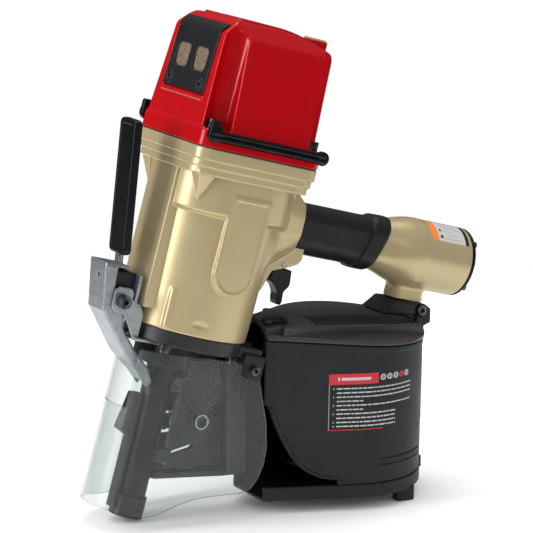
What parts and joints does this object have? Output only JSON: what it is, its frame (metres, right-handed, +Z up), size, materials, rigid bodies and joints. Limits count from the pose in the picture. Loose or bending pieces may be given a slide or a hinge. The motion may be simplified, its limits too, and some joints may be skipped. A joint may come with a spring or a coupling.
{
  "type": "pneumatic coil nail gun",
  "caption": "Pneumatic coil nailer with a tall capped body, side handle, round nail canister, steel nose, clear nose shield and a sprung front lever.",
  "frame": {"origin": "centre of the bounding box at the level the tool stands on", "axes": "+Z up as the tool stands on its nose tip and canister feet; +X towards the handle end; +Y to the far side, away from the canister door"},
  "size_m": [0.4224, 0.161, 0.483],
  "materials": {
    "gold_casting": "satin champagne-gold coated casting",
    "red_cap": "gloss red coated casting",
    "black_plastic": "moulded, fine texture",
    "black_rubber": "moulded rubber",
    "dark_steel": "blackened cast steel",
    "black_screw": "black oxide",
    "galvanised": "galvanised sheet",
    "bright_steel": "ground steel",
    "spring_steel": "spring wire",
    "alu_inner": "machined aluminium",
    "clear_shield": "clear polycarbonate sheet",
    "filter_mesh": "sintered mesh",
    "seal_rubber": "nitrile"
  },
  "bodies": {
    "tool_body": {"body_casting": "gold_casting", "cap_gasket": "seal_rubber", "cap_screws": "black_screw", "contact_spring": "spring_steel", "cover_screws": "black_screw", "cylinder_sleeve": "bright_steel", "end_cap": "black_plastic", "end_cap_seal": "seal_rubber", "exhaust_cover": "black_plastic", "exhaust_filter": "filter_mesh", "feed_cylinder": "dark_steel", "feed_door_pin": "bright_steel", "feed_spring": "spring_steel", "flange_screws": "black_screw", "grip_sleeve": "black_rubber", "head_cap": "red_cap", "head_valve_spring": "spring_steel", "lever_bolt": "black_screw", "lever_bracket": "galvanised", "lever_spring": "spring_steel", "magazine_base": "black_plastic", "magazine_body": "black_plastic", "magazine_hinge_pin": "bright_steel", "magazine_lid": "black_plastic", "magazine_post": "black_plastic", "magazine_screws": "black_screw", "magazine_throat": "black_plastic", "nose_body": "dark_steel", "nose_flange": "dark_steel", "nose_screws": "black_screw", "piston_bumper": "seal_rubber", "rear_bracket": "black_plastic", "shield": "clear_shield", "shield_clamps": "black_plastic", "shield_screws": "black_screw", "side_strip_left": "black_rubber", "side_strip_right": "black_rubber", "sleeve_seal": "seal_rubber", "spring_housing": "black_plastic", "stem_screw": "black_screw", "trigger_pin": "bright_steel", "trigger_spring": "spring_steel", "trigger_valve_body": "alu_inner"},
    "piston": {"piston": "alu_inner", "piston_ring": "seal_rubber", "driver_blade": "bright_steel"},
    "head_valve": {"head_valve": "alu_inner"},
    "trigger": {"trigger": "black_plastic"},
    "valve_stem": {"trigger_valve_stem": "bright_steel"},
    "contact_arm": {"contact_arm": "dark_steel", "contact_link": "dark_steel"},
    "front_lever": {"front_lever": "galvanised", "lever_grip": "black_plastic"},
    "feed_door": {"feed_door": "dark_steel"},
    "door_latch": {"door_latch": "bright_steel"},
    "feed_piston": {"feed_piston": "bright_steel", "feed_pawl": "dark_steel"},
    "canister_door": {"magazine_door": "black_plastic"},
    "nail_platform": {"nail_platform": "black_plastic"},
    "canister_catch": {"magazine_catch": "black_plastic"}
  },
  "joints": [
    {"name": "piston_stroke", "type": "slide", "parent": "tool_body", "child": "piston", "axis": [-0.2588, 0, -0.9659], "range_m": [0, 0.132]},
    {"name": "head_valve_lift", "type": "slide", "parent": "tool_body", "child": "head_valve", "axis": [0.2588, 0, 0.9659], "range_m": [0, 0.008], "stiffness_N_per_m": 800, "springref_m": -0.03, "deforming": ["head_valve_spring"]},
    {"name": "trigger_pull", "type": "hinge", "parent": "tool_body", "child": "trigger", "pos_m": [-0.00664, 0, 0.23832], "axis": [0, -1, 0], "range_deg": [0, 12], "stiffness_Nm_per_rad": 0.4, "springref_deg": -22.92},
    {"name": "valve_stem_lift", "type": "slide", "parent": "tool_body", "child": "valve_stem", "axis": [0.2588, 0, 0.9659], "range_m": [0, 0.0026], "deforming": ["trigger_spring"]},
    {"name": "contact_press", "type": "slide", "parent": "tool_body", "child": "contact_arm", "axis": [0.2588, 0, 0.9659], "range_m": [0, 0.011], "stiffness_N_per_m": 1500, "springref_m": -0.04, "deforming": ["contact_spring"]},
    {"name": "lever_squeeze", "type": "hinge", "parent": "tool_body", "child": "front_lever", "pos_m": [-0.18329, 0, 0.22043], "axis": [0, 1, 0], "range_deg": [0, 8], "stiffness_Nm_per_rad": 2, "springref_deg": -28.65, "deforming": ["lever_spring"]},
    {"name": "feed_door_swing", "type": "hinge", "parent": "tool_body", "child": "feed_door", "pos_m": [-0.12401, -0.0155, 0.09584], "axis": [-0.2588, 0, -0.9659], "range_deg": [0, 40]},
    {"name": "door_latch_turn", "type": "hinge", "parent": "feed_door", "child": "door_latch", "pos_m": [-0.09474, -0.013, 0.0911], "axis": [0, 1, 0], "range_deg": [0, 90]},
    {"name": "feed_stroke", "type": "slide", "parent": "tool_body", "child": "feed_piston", "axis": [1, 0, 0], "range_m": [0, 0.016], "stiffness_N_per_m": 600, "springref_m": -0.03, "deforming": ["feed_spring"]},
    {"name": "canister_door_swing", "type": "hinge", "parent": "tool_body", "child": "canister_door", "pos_m": [0.15107, -0.014, 0.1043], "axis": [0, 0, 1], "range_deg": [0, 100]},
    {"name": "platform_lift", "type": "slide", "parent": "tool_body", "child": "nail_platform", "axis": [0, 0, 1], "range_m": [0, 0.06]},
    {"name": "catch_turn", "type": "hinge", "parent": "tool_body", "child": "canister_catch", "pos_m": [-0.03263, -0.034, 0.18827], "axis": [-0.0872, 0, -0.9962], "range_deg": [0, 60]}
  ],
  "couplings": [
    {"joint": "valve_stem_lift", "follows": "trigger_pull", "m_per_rad": 0.0119}
  ]
}
